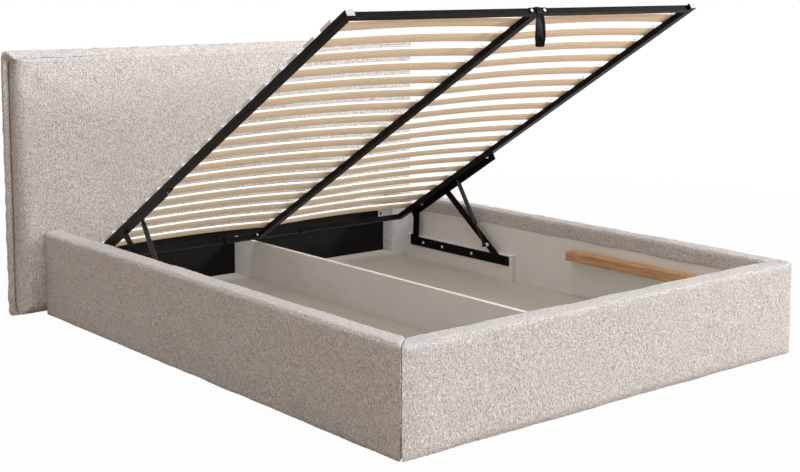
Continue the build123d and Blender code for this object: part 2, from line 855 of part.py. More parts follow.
with BuildPart() as glides:
    board_middle = (board_inner + board_outer) / 2
    for y_place in (board_front + glide_inset, (board_front + board_end) / 2, board_end - glide_inset):
        for x_place in (-board_middle, board_middle):
            with Locations((x_place, y_place, 0)):
                Box(glide_width, glide_length, board_bottom, align=UPRIGHT)
        with Locations((0, y_place, 0)):
            Box(divider_thickness, glide_length, board_bottom, align=UPRIGHT)
    for x_place in (-board_inner + glide_inset, board_inner - glide_inset):
        with Locations((x_place, board_front - board_thickness / 2, 0)):
            Box(glide_length, glide_width, board_bottom, align=UPRIGHT)
    for x_place in (-pad_half_width * headboard_glide_share, 0, pad_half_width * headboard_glide_share):
        with Locations((x_place, core_back - headboard_glide_depth, 0)):
            Box(glide_length, headboard_glide_depth, pad_bottom, align=(Align.CENTER, Align.MIN, Align.MIN))

# Files, one for each named piece

for piece, name in (
    (headboard_core, "headboard_core"),
    (headboard_pad, "headboard_pad"),
    (headboard_flange, "headboard_flange"),
    (headboard_back_cover, "headboard_back_cover"),
    (headboard_base_board, "headboard_base_board"),
    (headboard_lining, "headboard_lining"),
    (side_board_left, "side_board_left"),
    (side_board_right, "side_board_right"),
    (foot_board, "foot_board"),
    (side_upholstery_left, "side_upholstery_left"),
    (side_upholstery_right, "side_upholstery_right"),
    (foot_upholstery, "foot_upholstery"),
    (floor_panel_left, "floor_panel_left"),
    (floor_panel_right, "floor_panel_right"),
    (floor_cleats, "floor_cleats"),
    (divider_board, "divider_board"),
    (divider_edge_band, "divider_edge_band"),
    (divider_brackets, "divider_brackets"),
    (support_batten_left, "support_batten_left"),
    (support_batten_right, "support_batten_right"),
    (batten_plugs, "batten_plugs"),
    (spacer_board_left, "spacer_board_left"),
    (spacer_board_right, "spacer_board_right"),
    (lift_base_left, "lift_base_left"),
    (lift_base_right, "lift_base_right"),
    (lift_base_screws, "lift_base_screws"),
    (arm_pivots, "arm_pivots"),
    (corner_brackets, "corner_brackets"),
    (corner_bolts, "corner_bolts"),
    (glides, "glides"),
    (front_arm_left, "front_arm_left"),
    (front_arm_right, "front_arm_right"),
    (lower_ball_studs, "lower_ball_studs"),
    (rear_arm_left, "rear_arm_left"),
    (rear_arm_right, "rear_arm_right"),
    (frame_bar_left, "frame_bar_left"),
    (frame_bar_right, "frame_bar_right"),
    (frame_bar_centre, "frame_bar_centre"),
    (frame_bar_head, "frame_bar_head"),
    (frame_bar_foot, "frame_bar_foot"),
    (frame_end_caps, "frame_end_caps"),
    (lift_bracket_left, "lift_bracket_left"),
    (lift_bracket_right, "lift_bracket_right"),
    (lift_bracket_bolts, "lift_bracket_bolts"),
    (arm_top_pivots, "arm_top_pivots"),
    (upper_ball_studs, "upper_ball_studs"),
    (slats_left, "slats_left"),
    (slats_right, "slats_right"),
    (slat_holders_left, "slat_holders_left"),
    (slat_holders_centre, "slat_holders_centre"),
    (slat_holders_right, "slat_holders_right"),
    (strap_plate, "strap_plate"),
    (strap_bolts, "strap_bolts"),
    (head_bar_clips, "head_bar_clips"),
    (centre_bolts, "centre_bolts"),
    (strut_cylinder_left, "strut_cylinder_left"),
    (strut_cylinder_right, "strut_cylinder_right"),
    (strut_rod_left, "strut_rod_left"),
    (strut_rod_right, "strut_rod_right"),
    (pull_strap, "pull_strap"),
):
    write(piece, name)
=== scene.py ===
import json
import math

import bmesh
import bpy
import numpy as np
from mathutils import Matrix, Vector, noise


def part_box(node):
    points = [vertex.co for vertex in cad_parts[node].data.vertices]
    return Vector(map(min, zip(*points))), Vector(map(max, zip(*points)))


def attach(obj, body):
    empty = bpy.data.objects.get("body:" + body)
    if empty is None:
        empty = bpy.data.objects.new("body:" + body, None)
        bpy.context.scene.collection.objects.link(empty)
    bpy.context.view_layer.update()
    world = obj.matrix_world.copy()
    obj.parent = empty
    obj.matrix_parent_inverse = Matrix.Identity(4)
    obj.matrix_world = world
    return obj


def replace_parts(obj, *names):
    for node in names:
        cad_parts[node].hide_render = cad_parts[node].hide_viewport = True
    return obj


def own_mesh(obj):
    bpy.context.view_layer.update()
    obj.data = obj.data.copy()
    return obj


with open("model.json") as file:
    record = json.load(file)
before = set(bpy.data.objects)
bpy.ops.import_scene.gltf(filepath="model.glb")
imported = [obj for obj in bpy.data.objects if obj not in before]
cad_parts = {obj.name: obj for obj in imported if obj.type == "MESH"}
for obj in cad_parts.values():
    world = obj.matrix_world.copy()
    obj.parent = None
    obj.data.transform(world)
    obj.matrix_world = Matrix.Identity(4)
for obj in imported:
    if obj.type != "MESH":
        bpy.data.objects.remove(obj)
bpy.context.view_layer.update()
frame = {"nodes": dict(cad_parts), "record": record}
nodes = frame["nodes"]

# Box and rails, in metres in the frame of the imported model

FOOT_FACE = -1.112
HALF_WIDTH = 0.860
RAIL_TOP = 0.320
RAIL_BOTTOM = 0.001
RAIL_END = 0.9997
WRAP_BOTTOM = 0.262
BOARD_TOP = 0.2853
BOARD_END = 0.9560
OUTER_ROUND = 0.016
INNER_ROUND = 0.013
BOTTOM_ROUND = 0.008
CORNER_ROUND = 0.015

# Faces of a rail's wrapped cloth and of its board, inwards from the rail's outer face

WRAP_INNER = 0.075
WRAP_OUTER = 0.0723
BOARD_SEAT = 0.0537

# Headboard: front pad, sewn border and the base board between the rails

PAD_FRONT = 1.002
PAD_BACK = 1.0635
PAD_HALF = 0.9547
PAD_BOTTOM = 0.0070
PAD_TOP = 0.9777
PAD_ROUND = 0.037
PAD_TOP_ROUND = 0.010
SEAM_TOP = 0.9717
BASE_HALF = 0.788
BASE_TOP = 0.2473
FLANGE_FRONT = 1.058
FLANGE_THICK = 0.018
FLANGE_HALF = 0.979
FLANGE_LOW = 0.0035
FLANGE_HIGH = 1.000

# Raised frame: its tilt, and the place of its tubes' underside at the head end

TILT = math.radians(30.82)
HEAD_CORNER = Vector((0, 0.8500, 0.2090))

# Wadding and curly yarn, as (size across, height) of their lumps

RAIL_WADDING = (0.16, 0.0022)
PAD_WADDING = (0.22, 0.0022)
YARN = (0.011, 0.0011)
BORDER_YARN = (0.010, 0.0010)


# Mesh helpers

def new_mesh(name, points, faces):
    """A smooth object from points and faces given in the model's frame."""
    mesh = bpy.data.meshes.new(name)
    mesh.from_pydata([tuple(p) for p in points], [], faces)
    mesh.update()
    return show(name, mesh)


def show(name, mesh):
    """Put a mesh into the scene as a smooth object."""
    piece = bpy.data.objects.new(name, mesh)
    bpy.context.scene.collection.objects.link(piece)
    mesh.polygons.foreach_set("use_smooth", [True] * len(mesh.polygons))
    return piece


def grid_faces(rows, columns):
    """Faces of an open grid whose points are listed row by row."""
    return [
        (row * columns + i, row * columns + i + 1, (row + 1) * columns + i + 1, (row + 1) * columns + i)
        for row in range(rows - 1) for i in range(columns - 1)
    ]


def ring_faces(rows, count, start=0, closed=False):
    """Faces between rings of count points each; closed joins the last ring to the first."""
    faces = []
    for row in range(rows if closed else rows - 1):
        here = start + row * count
        after = start + (row + 1) % rows * count
        for i in range(count):
            j = (i + 1) % count
            faces.append((here + i, here + j, after + j, after + i))
    return faces


def read_points(piece):
    """Places of a piece's points, one in each row."""
    points = np.zeros(len(piece.data.vertices) * 3)
    piece.data.vertices.foreach_get("co", points)
    return points.reshape(-1, 3)


def write_points(piece, points):
    """Move a piece's points to the places in the rows."""
    piece.data.vertices.foreach_set("co", np.asarray(points, float).ravel())
    piece.data.update()


def read_normals(piece):
    """Directions of a piece's surface at its points, one in each row."""
    normals = np.zeros(len(piece.data.vertices) * 3)
    piece.data.vertices.foreach_get("normal", normals)
    return normals.reshape(-1, 3)


def apply_modifiers(piece):
    """Replace the mesh by what its modifiers make of it."""
    graph = bpy.context.evaluated_depsgraph_get()
    mesh = bpy.data.meshes.new_from_object(piece.evaluated_get(graph))
    piece.modifiers.clear()
    piece.data = mesh


def subdivide(piece):
    """Smooth a mesh by splitting each of its faces once."""
    modifier = piece.modifiers.new("subdivide", "SUBSURF")
    modifier.levels = modifier.render_levels = 1
    apply_modifiers(piece)


def outwards(piece):
    """Turn all faces of a closed mesh outwards."""
    work = bmesh.new()
    work.from_mesh(piece.data)
    bmesh.ops.recalc_face_normals(work, faces=work.faces)
    work.to_mesh(piece.data)
    work.free()


def inflate(piece, pinned, most, pressure=4.0, frames=20):
    """Swell a padded piece with a cloth simulation; no point moves further than most."""
    start = read_points(piece)
    group = piece.vertex_groups.new(name="pinned")
    group.add([int(i) for i in np.flatnonzero(pinned)], 1.0, "REPLACE")
    cloth = piece.modifiers.new("cloth", "CLOTH")
    settings = cloth.settings
    settings.quality = 4
    settings.mass = 0.3
    settings.tension_stiffness = settings.compression_stiffness = 12
    settings.bending_stiffness = 1.5
    settings.use_pressure = True
    settings.uniform_pressure_force = pressure
    settings.vertex_group_mass = "pinned"
    settings.effector_weights.gravity = 0
    cloth.collision_settings.use_collision = False
    cloth.point_cache.frame_end = frames
    for number in range(1, frames + 1):
        bpy.context.scene.frame_set(number)
    apply_modifiers(piece)
    moved = read_points(piece) - start
    length = np.linalg.norm(moved, axis=1)
    share = np.where(length > most, most / np.maximum(length, 1e-9), 1.0)
    write_points(piece, start + moved * share[:, None])
    bpy.context.scene.frame_set(1)


def field(points, size, seed):
    """Smooth seeded noise from -1 to 1 at each point, with features about size across."""
    shift = Vector((seed * 7.31, seed * 3.17, seed * 5.73))
    return np.array([noise.fractal(Vector(p) / size + shift, 0.6, 2.0, 2) for p in points])


def lumps(piece, size, height, seed):
    """Push the surface in and out by noise, as wadding and curly yarn do."""
    points = read_points(piece)
    write_points(piece, points + read_normals(piece) * (field(points, size, seed) * height)[:, None])


def ripple(*place):
    """Smooth noise from -1 to 1 at a place, for cloths that wave and slacken."""
    return noise.fractal(Vector(place), 0.5, 2.0, 2)


def arc(centre, radius, start, end, steps):
    """Points of an arc, with its ends, from angles in degrees."""
    turns = np.radians(np.linspace(start, end, steps + 1))
    return [(centre[0] + radius * math.cos(t), centre[1] + radius * math.sin(t)) for t in turns]


def spaced(start, end, step):
    """Places from start to end about a step apart, with the end left out."""
    count = max(1, round(abs(end - start) / step))
    return list(np.linspace(start, end, count, endpoint=False))


# Materials

def colour(red, green, blue):
    """Linear colour of an sRGB colour given from 0 to 255."""
    def linear(value):
        value /= 255
        return value / 12.92 if value <= 0.04045 else ((value + 0.055) / 1.055) ** 2.4
    return (linear(red), linear(green), linear(blue), 1.0)


def toned(base, factor, lift=0.0):
    """A linear colour made darker or lighter."""
    return tuple(min(1.0, value * factor + lift) for value in base[:3]) + (1.0,)


class Finish:
    """A material with one Principled shader, and short calls for the nodes that feed it."""

    def __init__(self, name):
        self.material = bpy.data.materials.new(name)
        self.material.use_nodes = True
        self.tree = self.material.node_tree
        self.shader = self.tree.nodes["Principled BSDF"]
        self.place = self.node("ShaderNodeTexCoord").outputs["Object"]

    def node(self, kind, **values):
        made = self.tree.nodes.new(kind)
        for key, value in values.items():
            setattr(made, key, value)
        return made

    def link(self, source, socket):
        self.tree.links.new(source, socket)

    def set(self, **values):
        for key, value in values.items():
            self.shader.inputs[key.replace("_", " ")].default_value = value

    def feed(self, socket, source):
        if hasattr(source, "is_linked"):
            self.link(source, socket)
        else:
            socket.default_value = source

    def mapped(self, scale):
        made = self.node("ShaderNodeMapping")
        made.inputs["Scale"].default_value = scale
        self.link(self.place, made.inputs["Vector"])
        return made.outputs["Vector"]

    def noise(self, scale, detail=2.0, distortion=0.0, source=None, roughness=0.5):
        made = self.node("ShaderNodeTexNoise")
        self.link(source or self.place, made.inputs["Vector"])
        made.inputs["Scale"].default_value = scale
        made.inputs["Detail"].default_value = detail
        made.inputs["Distortion"].default_value = distortion
        made.inputs["Roughness"].default_value = roughness
        return made.outputs["Fac"]

    def cells(self, scale, source):
        made = self.node("ShaderNodeTexVoronoi")
        self.link(source, made.inputs["Vector"])
        made.inputs["Scale"].default_value = scale
        return made.outputs["Distance"]

    def wave(self, scale, direction):
        made = self.node("ShaderNodeTexWave", bands_direction=direction)
        self.link(self.place, made.inputs["Vector"])
        made.inputs["Scale"].default_value = scale
        return made.outputs["Fac"]

    def math(self, operation, first, second=0.0):
        made = self.node("ShaderNodeMath", operation=operation)
        self.feed(made.inputs[0], first)
        self.feed(made.inputs[1], second)
        return made.outputs[0]

    def ramp(self, source, low, high, first=0.0, last=1.0):
        made = self.node("ShaderNodeMapRange", clamp=True)
        self.feed(made.inputs["Value"], source)
        for key, value in (("From Min", low), ("From Max", high), ("To Min", first), ("To Max", last)):
            made.inputs[key].default_value = value
        return made.outputs["Result"]

    def mix(self, share, first, second):
        """Mix two colours; the node's colour sockets are inputs 6 and 7 and output 2."""
        made = self.node("ShaderNodeMix", data_type="RGBA")
        self.feed(made.inputs["Factor"], share)
        self.feed(made.inputs[6], first)
        self.feed(made.inputs[7], second)
        return made.outputs[2]

    def paint(self, source):
        self.feed(self.shader.inputs["Base Color"], source)

    def rough(self, source):
        self.feed(self.shader.inputs["Roughness"], source)

    def bump(self, height, distance, strength=1.0):
        made = self.node("ShaderNodeBump")
        self.feed(made.inputs["Height"], height)
        made.inputs["Distance"].default_value = distance
        made.inputs["Strength"].default_value = strength
        if self.shader.inputs["Normal"].is_linked:
            self.link(self.shader.inputs["Normal"].links[0].from_socket, made.inputs["Normal"])
        self.link(made.outputs["Normal"], self.shader.inputs["Normal"])


def boucle():
    """Curly looped yarn: small upright grains and curls over a pale ground, with fluff on top and painted
    shade in the hollows between them.
    """
    finish = Finish("boucle_cloth")
    upright = finish.mapped((1.0, 1.0, 0.5))
    grains = finish.noise(285, detail=1.5, distortion=0.6, source=upright, roughness=0.6)
    curl = finish.noise(190, detail=1.0, distortion=1.6, source=upright)
    ridge = finish.math("ABSOLUTE", finish.math("SUBTRACT", curl, 0.5))
    curls = finish.ramp(ridge, 0.0, 0.10, 1.0, 0.0)
    height = finish.math("ADD", finish.math("MULTIPLY", finish.ramp(grains, 0.36, 0.64), 0.6),
                         finish.math("MULTIPLY", curls, 0.4))
    patches = finish.noise(4, detail=3)
    light = finish.mix(patches, colour(253, 250, 248), colour(248, 244, 241))
    # Painted shade: the low parts between grains and curls are painted darker, standing in for the shade that
    # falls in them
    finish.paint(finish.mix(finish.ramp(height, 0.0, 0.52), colour(178, 165, 157), light))
    finish.set(Roughness=0.95, Sheen_Weight=0.2, Sheen_Roughness=0.6, Specular_IOR_Level=0.12)
    finish.bump(height, 0.0056)
    return finish.material


def plain_cloth(name, base, weave, depth):
    """Thin cloth with a small weave and faint cloudy patches."""
    finish = Finish(name)
    clouds = finish.noise(9, detail=4, distortion=0.6)
    finish.paint(finish.mix(finish.ramp(clouds, 0.3, 0.75), toned(base, 0.62), toned(base, 1.5)))
    threads = finish.math("MULTIPLY", finish.wave(weave, "X"), finish.wave(weave, "Z"))
    finish.set(Roughness=0.85, Specular_IOR_Level=0.18)
    finish.bump(threads, depth, 0.5)
    finish.bump(clouds, 0.002, 0.5)
    return finish.material


def coated_board(name, light, dark):
    """Melamine-coated board: faint mottling and a fine pressed grain."""
    finish = Finish(name)
    mottle = finish.noise(3.5, detail=5, roughness=0.6)
    finish.paint(finish.mix(finish.ramp(mottle, 0.3, 0.7), dark, light))
    grain = finish.noise(260, detail=3)
    finish.set(Specular_IOR_Level=0.35)
    finish.rough(finish.ramp(grain, 0.3, 0.7, 0.46, 0.6))
    finish.bump(grain, 0.0003, 0.4)
    return finish.material


def timber(name, light, dark, stretch, rings, knots=0.0, gloss=0.5, edge=False):
    """Planed wood whose grain runs along one axis; a slat's edges are painted paler than its faces, partly
    for their paler plies and partly as painted highlight.
    """
    finish = Finish(name)
    place = finish.mapped(stretch)
    grain = finish.noise(rings, detail=6, distortion=0.8, source=place, roughness=0.65)
    fibres = finish.noise(rings * 9, detail=3, source=place)
    share = finish.math("ADD", finish.ramp(grain, 0.3, 0.7), finish.math("MULTIPLY", fibres, 0.22))
    shade = finish.mix(finish.ramp(share, 0.15, 1.05), dark, light)
    if knots:
        spots = finish.cells(3.1, finish.mapped((1, 2.2, 2.2)))
        shade = finish.mix(finish.ramp(spots, 0.02, 0.09, knots, 0.0), shade, colour(110, 62, 30))
    if edge:
        # Painted highlight: faces square to the frame's length, the slat's edges, are mixed towards
        # near-white, partly for the edge's paler plies and partly for the light they catch from above
        facing = finish.node("ShaderNodeVectorMath", operation="DOT_PRODUCT")
        finish.link(finish.node("ShaderNodeTexCoord").outputs["Normal"], facing.inputs[0])
        facing.inputs[1].default_value = (0, -math.cos(TILT), math.sin(TILT))
        edge_highlight_share = finish.ramp(finish.math("ABSOLUTE", facing.outputs["Value"]), 0.6, 0.9)
        shade = finish.mix(edge_highlight_share, shade, colour(240, 232, 220))
    finish.paint(shade)
    finish.set(Specular_IOR_Level=0.35)
    finish.rough(finish.ramp(fibres, 0.2, 0.8, gloss, gloss + 0.15))
    finish.bump(share, 0.0004, 0.35)
    return finish.material


def coated_metal(name, base, gloss, shine):
    """Powder coat or paint with a slight orange-peel surface."""
    finish = Finish(name)
    wear = finish.noise(14, detail=4)
    finish.paint(finish.mix(finish.ramp(wear, 0.35, 0.8), base, toned(base, 1.8, 0.001)))
    peel = finish.noise(900, detail=2)
    finish.set(Specular_IOR_Level=shine)
    finish.rough(finish.ramp(wear, 0.3, 0.7, gloss, gloss + 0.12))
    finish.bump(peel, 0.0002, 0.25)
    return finish.material


def bare_metal(name, base, gloss, metallic):
    """Plated or polished steel with fine brushed streaks."""
    finish = Finish(name)
    streaks = finish.noise(60, detail=4, source=finish.mapped((1, 14, 14)))
    finish.paint(finish.mix(finish.ramp(streaks, 0.3, 0.7), toned(base, 0.75), base))
    finish.set(Metallic=metallic)
    finish.rough(finish.ramp(streaks, 0.3, 0.7, gloss, gloss + 0.14))
    finish.bump(streaks, 0.0001, 0.3)
    return finish.material


def moulded(name, base, gloss):
    """Moulded plastic with a fine eroded surface."""
    finish = Finish(name)
    tone = finish.noise(25, detail=3)
    finish.paint(finish.mix(finish.ramp(tone, 0.3, 0.7), toned(base, 0.86), base))
    grain = finish.noise(1500, detail=2)
    finish.set(Specular_IOR_Level=0.45)
    finish.rough(finish.ramp(grain, 0.3, 0.7, gloss, gloss + 0.12))
    finish.bump(grain, 0.0001, 0.4)
    return finish.material


def webbing():
    """Black woven tape with a soft sheen."""
    finish = Finish("strap_webbing")
    weave = finish.math("MULTIPLY", finish.wave(260, "Z"), finish.wave(420, "X"))
    finish.paint(finish.mix(weave, colour(3, 3, 3), colour(9, 9, 9)))
    finish.set(Roughness=0.28, Specular_IOR_Level=0.14)
    finish.bump(weave, 0.0004, 0.4)
    return finish.material


LOOKS = {
    "boucle": boucle(),
    "back_cloth": plain_cloth("back_cloth", colour(64, 62, 61), 900, 0.0005),
    "lining_cloth": plain_cloth("lining_cloth", colour(13, 12, 11), 700, 0.0005),
    "core_board": timber("core_board", colour(196, 168, 132), colour(165, 135, 98), (1, 6, 1), 22),
    "laminate": coated_board("board_laminate", colour(225, 225, 223), colour(217, 216, 213)),
    "floor_laminate": coated_board("floor_laminate", colour(188, 184, 176), colour(177, 172, 163)),
    "edge_band": moulded("edge_band", colour(246, 244, 238), 0.35),
    "batten_wood": timber("batten_wood", colour(215, 172, 130), colour(151, 104, 66), (15, 0.8, 15), 9, 0.5),
    "slat_wood": timber(
        "slat_wood", colour(246, 227, 203), colour(232, 208, 180), (0.5, 7, 7), 16, gloss=0.6, edge=True
    ),
    "black_metal": coated_metal("black_metal", colour(10, 10, 10), 0.34, 0.08),
    "zinc_steel": bare_metal("zinc_steel", colour(228, 228, 225), 0.45, 0.2),
    "bright_steel": bare_metal("bright_steel", colour(246, 246, 245), 0.3, 0.2),
    "strut_paint": coated_metal("strut_paint", colour(10, 10, 10), 0.16, 0.7),
    "rod_steel": bare_metal("rod_steel", colour(58, 54, 51), 0.22, 0.9),
    "holder_plastic": moulded("holder_plastic", colour(228, 225, 217), 0.42),
    "plug_plastic": moulded("plug_plastic", colour(184, 184, 182), 0.38),
    "glide_plastic": moulded("glide_plastic", colour(28, 28, 28), 0.5),
    "webbing": webbing(),
}


def dress(piece, slot):
    """Give a new piece the material of the named slot."""
    piece.data.materials.clear()
    piece.data.materials.append(LOOKS[slot])


for subpart in frame["record"]["subparts"]:
    node = nodes[subpart["node"]]
    if not node.material_slots:
        node.data.materials.append(None)
    for place in node.material_slots:
        place.link = "OBJECT"
        place.material = LOOKS[subpart["material_slot"]]


# Edges of the rigid pieces are broken slightly, as real ones are: width, then the pieces

EDGE_BREAKS = {
    0.0016: ("frame_bar_left", "frame_bar_right", "frame_bar_centre", "frame_bar_head", "frame_bar_foot"),
    0.0015: ("slats_left", "slats_right", "support_batten_left", "support_batten_right"),
    0.0012: ("frame_end_caps",),
    0.0010: ("slat_holders_left", "slat_holders_centre", "slat_holders_right", "spacer_board_left",
             "spacer_board_right", "glides"),
    0.0008: ("lift_bracket_left", "lift_bracket_right", "strap_plate", "lift_base_left", "lift_base_right",
             "front_arm_left", "front_arm_right", "rear_arm_left", "rear_arm_right"),
    0.0006: ("head_bar_clips", "divider_board", "side_board_left", "side_board_right", "foot_board"),
    0.0005: ("divider_edge_band", "corner_brackets", "divider_brackets"),
}
SAME_POINT = 0.00002
SHARP_ANGLE = math.radians(40)

for width, names in EDGE_BREAKS.items():
    for name in names:
        weld = nodes[name].modifiers.new("weld", "WELD")
        weld.merge_threshold = SAME_POINT
        bevel = nodes[name].modifiers.new("edge break", "BEVEL")
        bevel.width = width
        bevel.segments = 2
        bevel.limit_method = "ANGLE"
        bevel.angle_limit = SHARP_ANGLE


# Padded rails

FLAT_RUN = 0.010
FACE_STEP = 0.012
WRAP_STEP = 0.010
SEAT_STEP = 0.03
HEM_RISE = 0.0015
HEM_TURN = 0.0012
HEM_INSIDE = 0.001
SECTION_MIDDLE = np.array([0.035, 0.17])
LIP = 0.02
TOLERANCE = 1e-6

RAIL_STEP = 0.013
END_RUN = 0.038
END_STOPS = [0, 0.003, 0.008, 0.016, 0.026]
BOARD_END_CLEAR = 0.006
SEAM_PINCH = (0.0042, 0.0016, 0.0004)
RAIL_SWELL = 0.005

SLUMP_RUN = 0.34
SLUMP_START = 0.05
SLUMP_LOW = 0.25
SLUMP_RISE = 0.06
SLUMP_PERIOD = 0.11
SLUMP_DEPTH = 0.0065


def rail_section():
    """Closed outline of a rail's padding as (inwards, up), and which points stay on the boards."""
    outer = [(BOTTOM_ROUND + FLAT_RUN, RAIL_BOTTOM)]
    outer += arc((BOTTOM_ROUND, RAIL_BOTTOM + BOTTOM_ROUND), BOTTOM_ROUND, 270, 180, 3)
    low, high = RAIL_BOTTOM + BOTTOM_ROUND + FLAT_RUN, RAIL_TOP - OUTER_ROUND
    outer += [(0, z) for z in spaced(low, high, FACE_STEP)]
    outer += arc((OUTER_ROUND, RAIL_TOP - OUTER_ROUND), OUTER_ROUND, 180, 90, 5)
    outer += [(OUTER_ROUND + (WRAP_INNER - INNER_ROUND - OUTER_ROUND) / 2, RAIL_TOP)]
    outer += arc((WRAP_INNER - INNER_ROUND, RAIL_TOP - INNER_ROUND), INNER_ROUND, 90, 0, 5)
    low, high = WRAP_BOTTOM + HEM_RISE, RAIL_TOP - INNER_ROUND - FLAT_RUN
    outer += [(WRAP_INNER, z) for z in spaced(high, low, WRAP_STEP)]
    outer += [(WRAP_INNER, WRAP_BOTTOM + HEM_RISE), (WRAP_INNER - HEM_TURN, WRAP_BOTTOM)]
    inner = [(WRAP_OUTER, WRAP_BOTTOM + HEM_INSIDE), (WRAP_OUTER, BOARD_TOP), (BOARD_SEAT, BOARD_TOP)]
    inner += [(BOARD_SEAT, z) for z in spaced(BOARD_TOP - SEAT_STEP, RAIL_BOTTOM, SEAT_STEP)]
    inner += [(BOARD_SEAT, RAIL_BOTTOM)]
    section = np.array(outer + inner)
    held = np.zeros(len(section), bool)
    held[:2] = True
    held[len(outer) - 3:] = True
    return section, held


def end_section(section):
    """The rail's section past its board's end, where the padding fills the whole thickness."""
    depth, height = section[:, 0], section[:, 1]
    bare = (depth > BOARD_SEAT - TOLERANCE) & (height < BOARD_TOP + TOLERANCE) & (depth < WRAP_INNER)
    filled = section.copy()
    filled[bare, 0] = WRAP_INNER
    low = np.flatnonzero(bare)
    filled[low, 1] = np.linspace(WRAP_BOTTOM, RAIL_BOTTOM, len(low))
    return filled


def rounded_corner(points):
    """Bring points of the box inside its plan, whose upright corners are rounded."""
    for side in (-1, 1):
        centre = np.array([side * (HALF_WIDTH - CORNER_ROUND), FOOT_FACE + CORNER_ROUND])
        away = points[:, :2] - centre
        far = np.linalg.norm(away, axis=1)
        past = (away[:, 0] * side > 0) & (away[:, 1] < 0) & (far > CORNER_ROUND)
        points[past, :2] = centre + away[past] * (CORNER_ROUND / far[past])[:, None]
    return points


def slump(piece):
    """Let the top of a side rail sink and ripple a little near the headboard."""
    points = read_points(piece)
    from_end = RAIL_END - points[:, 1]
    near = np.clip(1 - from_end / SLUMP_RUN, 0, 1) * np.clip(from_end / SLUMP_START, 0, 1)
    upper = np.clip((points[:, 2] - SLUMP_LOW) / SLUMP_RISE, 0, 1)
    waves = 0.55 + 0.45 * np.sin(from_end * 2 * math.pi / SLUMP_PERIOD)
    points[:, 2] -= SLUMP_DEPTH * near * upper * waves
    write_points(piece, points)


def rail_stations(length, mitred_end):
    """Places of a rail's sections along it, closer at its ends and double where its board ends."""
    inside = spaced(END_RUN, length - END_RUN, RAIL_STEP) + [length - END_RUN]
    if not mitred_end:
        board_end = BOARD_END - FOOT_FACE
        inside = [place for place in inside if abs(place - board_end) > BOARD_END_CLEAR]
        inside = sorted(inside + [board_end, board_end])
    return END_STOPS + inside + [length - stop for stop in reversed(END_STOPS)]


def padded_rail(name, origin, along, inward, length, mitred_end, seed):
    """A rail's cover and wadding: a swept section, swollen as cloth and creased at its corner seams.

    Its start is mitred against another rail. Its end is mitred too, or else closed at the headboard.
    """
    section, held = rail_section()
    filled = end_section(section)
    stations = rail_stations(length, mitred_end)
    points, pinned, past_board = [], [], False
    for number, station in enumerate(stations):
        if not mitred_end and number and station == stations[number - 1]:
            past_board = True
        outline = filled if past_board else section
        from_end = min(number, len(stations) - 1 - number)
        seam = mitred_end or number < len(stations) / 2
        if seam and from_end < len(SEAM_PINCH):
            away = outline - SECTION_MIDDLE
            outline = outline - away / np.linalg.norm(away, axis=1)[:, None] * SEAM_PINCH[from_end]
        low = outline[:, 0]
        high = length - outline[:, 0] if mitred_end else length
        run = low + (high - low) * (station / length)
        world = np.zeros((len(outline), 3))
        world[:, :2] = np.array(origin) + run[:, None] * np.array(along) + outline[:, :1] * np.array(inward)
        world[:, 2] = outline[:, 1]
        points.append(world)
        hold = held.copy()
        if past_board:
            hold &= section[:, 0] < LIP
        hold |= from_end == 0 or from_end == 1 and not seam
        pinned.append(hold)
    count = len(section)
    last = (len(stations) - 1) * count
    faces = ring_faces(len(stations), count)
    faces.append(tuple(range(count)))
    faces.append(tuple(last + i for i in reversed(range(count))))
    piece = new_mesh(name, rounded_corner(np.concatenate(points)), faces)
    outwards(piece)
    inflate(piece, np.concatenate(pinned), RAIL_SWELL)
    subdivide(piece)
    if not mitred_end:
        slump(piece)
    lumps(piece, *RAIL_WADDING, seed)
    lumps(piece, *YARN, seed + 1)
    dress(piece, "boucle")
    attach(piece, "bed_box")
    return piece


length, width = RAIL_END - FOOT_FACE, 2 * HALF_WIDTH
rail_left = padded_rail("left_rail_cover", (-HALF_WIDTH, FOOT_FACE), (0, 1), (1, 0), length, False, 11)
rail_right = padded_rail("right_rail_cover", (HALF_WIDTH, FOOT_FACE), (0, 1), (-1, 0), length, False, 23)
rail_foot = padded_rail("foot_rail_cover", (-HALF_WIDTH, FOOT_FACE), (1, 0), (0, 1), width, True, 37)
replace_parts(rail_left, "side_upholstery_left")
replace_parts(rail_right, "side_upholstery_right")
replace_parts(rail_foot, "foot_upholstery")


# Padded front of the headboard

PAD_STEP = 0.013
PAD_ROUND_POINTS = 7
PAD_MIDDLE = 0.5
PAD_HELD = 0.004
PAD_SWELL = 0.004
NOTCH_HELD = 0.001


def pad_lines():
    """Grid lines across and up the front pad, closer together on its rounded edges."""
    turn = np.radians(np.linspace(0, 90, PAD_ROUND_POINTS))[1:]
    round_in = PAD_ROUND - PAD_ROUND * np.sin(turn)
    half_flat = PAD_HALF - PAD_ROUND
    across = spaced(-half_flat, -BASE_HALF, PAD_STEP) + spaced(-BASE_HALF, BASE_HALF, PAD_STEP)
    across += spaced(BASE_HALF, half_flat, PAD_STEP) + [half_flat]
    xs = np.array([-PAD_HALF + r for r in reversed(round_in)] + across + [PAD_HALF - r for r in round_in])
    up = spaced(PAD_BOTTOM + PAD_ROUND, BASE_TOP, PAD_STEP) + spaced(BASE_TOP, PAD_TOP - PAD_ROUND, PAD_STEP)
    up += [PAD_TOP - PAD_ROUND]
    zs = np.array([PAD_BOTTOM + r for r in reversed(round_in)] + up + [PAD_TOP - r for r in round_in])
    return xs, zs


def fall(distance, radius):
    """How far a face drops at a distance from its rounded edge."""
    inside = np.clip(radius - distance, 0, radius)
    return radius - np.sqrt(np.maximum(radius ** 2 - inside ** 2, 0))


